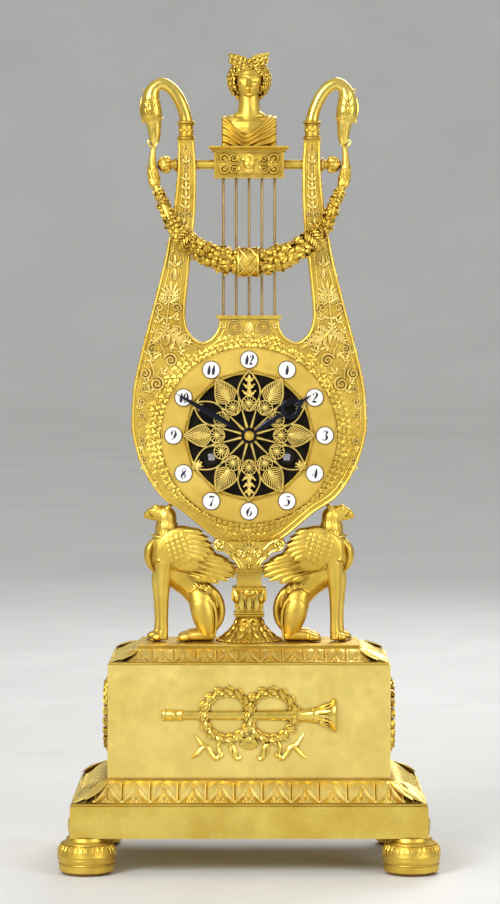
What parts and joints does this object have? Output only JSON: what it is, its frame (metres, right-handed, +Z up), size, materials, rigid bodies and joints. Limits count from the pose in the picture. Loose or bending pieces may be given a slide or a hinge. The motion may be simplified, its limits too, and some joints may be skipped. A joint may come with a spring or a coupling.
{
  "type": "lyre clock",
  "caption": "Gilt-bronze mantel clock: lyre case with round dial and spring movement, griffins and leaf pedestal on a moulded plinth, swan-head arms, garland and bust.",
  "frame": {"origin": "on the floor under the centre of the plinth", "axes": "+Z up, -Y towards the viewer in front of the dial, +X to the viewer's right"},
  "size_m": [0.2534, 0.1634, 0.5475],
  "materials": {
    "gilt_satin": "matte and burnished fire gilding",
    "gilt_bright": "burnished fire gilding",
    "string_brass": "dull drawn brass",
    "enamel_white": "fired enamel with dark numerals",
    "blued_steel": "heat-blued",
    "plain_steel": "brushed",
    "dark_backing": "matt black",
    "movement_brass": "satin"
  },
  "bodies": {
    "case": {"bun_feet": "gilt_satin", "foot_studs": "plain_steel", "plinth_slab": "gilt_satin", "lower_leaf_moulding": "gilt_satin", "plinth_box": "gilt_satin", "trumpet_trophy": "gilt_satin", "side_mounts": "gilt_satin", "upper_leaf_moulding": "gilt_satin", "terrace_plate": "gilt_satin", "griffin_left": "gilt_satin", "griffin_right": "gilt_satin", "griffin_screws": "plain_steel", "pedestal_foot": "gilt_satin", "pedestal_cup": "gilt_satin", "tie_rod": "plain_steel", "tie_nut": "plain_steel", "scroll_bracket": "gilt_satin", "lyre_frame": "gilt_satin", "string_bridge": "gilt_satin", "lyre_strings": "string_brass", "cross_bar": "gilt_bright", "bar_finials": "gilt_satin", "bust_block": "gilt_satin", "bust": "gilt_satin", "swan_head_left": "gilt_bright", "swan_head_right": "gilt_bright", "arm_collars": "gilt_satin", "garland": "gilt_satin", "dial_ring": "gilt_satin", "dial_fretwork": "gilt_bright", "hour_cartouches": "enamel_white", "dial_backing": "dark_backing", "movement_drum": "movement_brass", "door_hinge_pin": "plain_steel", "front_plate": "movement_brass", "back_plate": "movement_brass", "plate_pillars": "movement_brass", "bell": "movement_brass"},
    "minute_work": {"minute_hand": "blued_steel", "hand_collet": "movement_brass", "cannon_pinion": "movement_brass"},
    "hour_work": {"hour_hand": "blued_steel", "hour_wheel": "movement_brass"},
    "minute_wheel": {"minute_wheel": "movement_brass"},
    "going_barrel": {"going_barrel": "movement_brass", "going_mainspring": "plain_steel"},
    "going_arbor": {"going_winding_arbor": "plain_steel"},
    "second_arbor": {"going_second_wheel": "movement_brass"},
    "centre_arbor": {"centre_wheel": "movement_brass"},
    "third_arbor": {"third_wheel": "movement_brass"},
    "escape_arbor": {"escape_wheel": "movement_brass"},
    "anchor": {"anchor": "plain_steel"},
    "pendulum": {"pendulum": "movement_brass"},
    "strike_barrel": {"strike_barrel": "movement_brass", "strike_mainspring": "plain_steel"},
    "strike_arbor": {"strike_winding_arbor": "plain_steel"},
    "strike_wheel": {"strike_wheel": "movement_brass"},
    "hammer": {"hammer": "plain_steel"},
    "rear_door": {"rear_door": "movement_brass"}
  },
  "joints": [
    {"name": "minute_turn", "type": "hinge", "parent": "case", "child": "minute_work", "pos_m": [0, 0, 0.2875], "axis": [0, 1, 0], "continuous": true},
    {"name": "hour_turn", "type": "hinge", "parent": "case", "child": "hour_work", "pos_m": [0, 0, 0.2875], "axis": [0, 1, 0], "continuous": true},
    {"name": "minute_wheel_turn", "type": "hinge", "parent": "case", "child": "minute_wheel", "pos_m": [0, 0, 0.3015], "axis": [0, 1, 0], "continuous": true},
    {"name": "going_barrel_turn", "type": "hinge", "parent": "case", "child": "going_barrel", "pos_m": [0.02537, 0, 0.27285], "axis": [0, 1, 0], "continuous": true},
    {"name": "going_wind", "type": "hinge", "parent": "case", "child": "going_arbor", "pos_m": [0.02537, 0, 0.27285], "axis": [0, 1, 0], "range_deg": [0, 1800]},
    {"name": "second_turn", "type": "hinge", "parent": "case", "child": "second_arbor", "pos_m": [0.01615, 0, 0.29037], "axis": [0, 1, 0], "continuous": true},
    {"name": "centre_turn", "type": "hinge", "parent": "case", "child": "centre_arbor", "pos_m": [0, 0, 0.2875], "axis": [0, 1, 0], "continuous": true},
    {"name": "third_turn", "type": "hinge", "parent": "case", "child": "third_arbor", "pos_m": [-0.00662, 0, 0.30189], "axis": [0, 1, 0], "continuous": true},
    {"name": "escape_turn", "type": "hinge", "parent": "case", "child": "escape_arbor", "pos_m": [0, 0, 0.3135], "axis": [0, 1, 0], "continuous": true},
    {"name": "pendulum_swing", "type": "hinge", "parent": "case", "child": "pendulum", "pos_m": [0, 0, 0.3275], "axis": [0, 1, 0], "range_deg": [-3, 3]},
    {"name": "anchor_rock", "type": "hinge", "parent": "case", "child": "anchor", "pos_m": [0, 0, 0.3275], "axis": [0, 1, 0], "range_deg": [-3, 3]},
    {"name": "strike_barrel_turn", "type": "hinge", "parent": "case", "child": "strike_barrel", "pos_m": [-0.02537, 0, 0.27285], "axis": [0, 1, 0], "continuous": true},
    {"name": "strike_wind", "type": "hinge", "parent": "case", "child": "strike_arbor", "pos_m": [-0.02537, 0, 0.27285], "axis": [0, 1, 0], "range_deg": [0, 1800]},
    {"name": "strike_wheel_turn", "type": "hinge", "parent": "case", "child": "strike_wheel", "pos_m": [-0.02296, 0, 0.2925], "axis": [0, 1, 0], "continuous": true},
    {"name": "hammer_swing", "type": "hinge", "parent": "case", "child": "hammer", "pos_m": [-0.038, 0, 0.3035], "axis": [0, 1, 0], "range_deg": [-7, 14]},
    {"name": "door_swing", "type": "hinge", "parent": "case", "child": "rear_door", "pos_m": [-0.0555, 0.054, 0.2875], "axis": [0, 0, 1], "range_deg": [0, 110]}
  ],
  "couplings": [
    {"joint": "hour_turn", "follows": "minute_turn", "ratio": 0.083333},
    {"joint": "minute_wheel_turn", "follows": "minute_turn", "ratio": -0.33333},
    {"joint": "second_turn", "follows": "centre_turn", "ratio": -0.13889},
    {"joint": "going_barrel_turn", "follows": "centre_turn", "ratio": 0.02193},
    {"joint": "third_turn", "follows": "centre_turn", "ratio": -10},
    {"joint": "escape_turn", "follows": "centre_turn", "ratio": 100},
    {"joint": "anchor_rock", "follows": "pendulum_swing", "ratio": 1},
    {"joint": "strike_wheel_turn", "follows": "strike_barrel_turn", "ratio": -6.3333}
  ]
}
